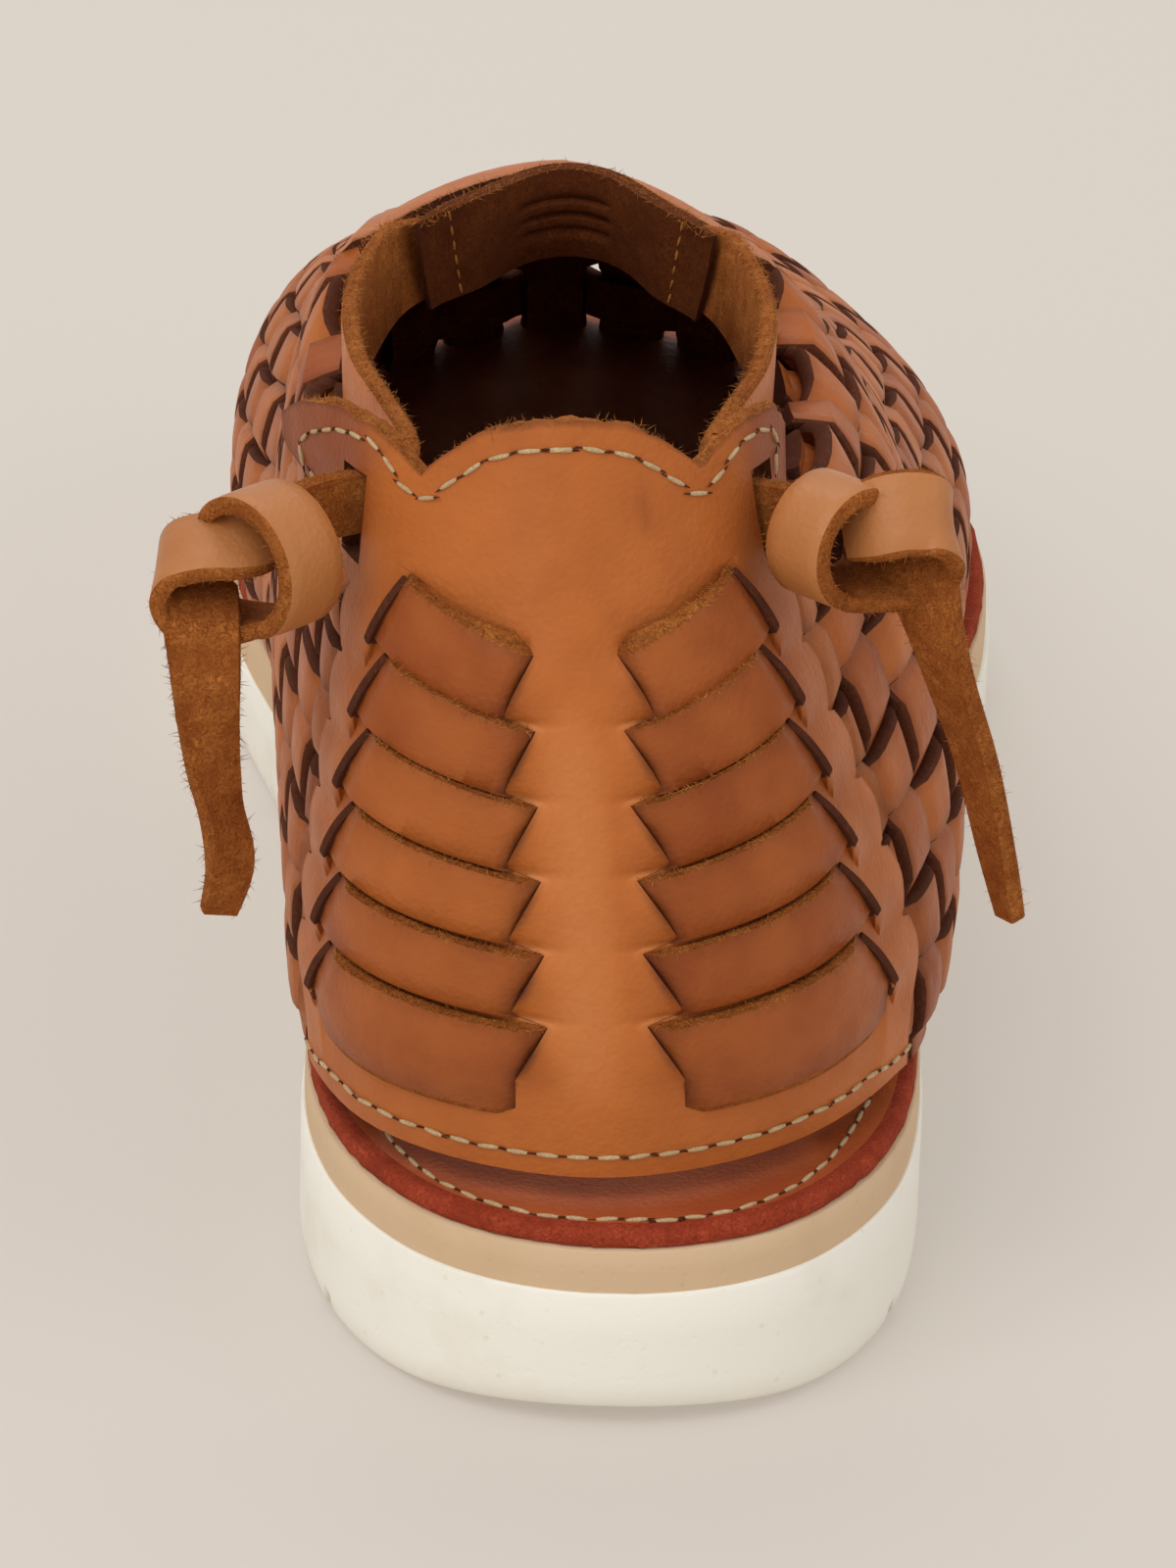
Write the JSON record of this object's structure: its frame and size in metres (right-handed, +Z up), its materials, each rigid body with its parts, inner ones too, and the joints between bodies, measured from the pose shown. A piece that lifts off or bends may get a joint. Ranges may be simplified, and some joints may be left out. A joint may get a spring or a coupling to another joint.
{
  "type": "woven huarache shoe",
  "caption": "Right woven leather huarache shoe with a slit-woven heel counter, knotted ankle ties and a layered wedge sole.",
  "frame": {"origin": "bottom centre of the shoe's bounding box, on the floor plane", "axes": "+Y towards the toe, +X towards the outer side of the foot, +Z up"},
  "size_m": [0.1104, 0.2898, 0.1199],
  "materials": {
    "ivory_foam": "matt ivory foam rubber with fine pores",
    "tan_midsole": "matt tan layer",
    "footbed_leather": "smooth red-brown leather board with an oxblood edge",
    "woven_leather": "satin caramel grain with dark raw edges",
    "counter_leather": "satin caramel grain, burnished at the slits",
    "collar_suede": "napped flesh side",
    "tie_leather": "light tan grain with napped back"
  },
  "bodies": {
    "root": {"outsole": "ivory_foam", "midsole": "tan_midsole", "insole": "footbed_leather", "upper": "woven_leather", "heel_counter": "counter_leather", "throat_saddle": "collar_suede", "ankle_strap_outer": "collar_suede", "ankle_strap_inner": "collar_suede", "tie_knot_outer": "tie_leather", "tie_knot_inner": "tie_leather", "tie_end_outer": "tie_leather", "tie_end_inner": "tie_leather"}
  },
  "joints": []
}
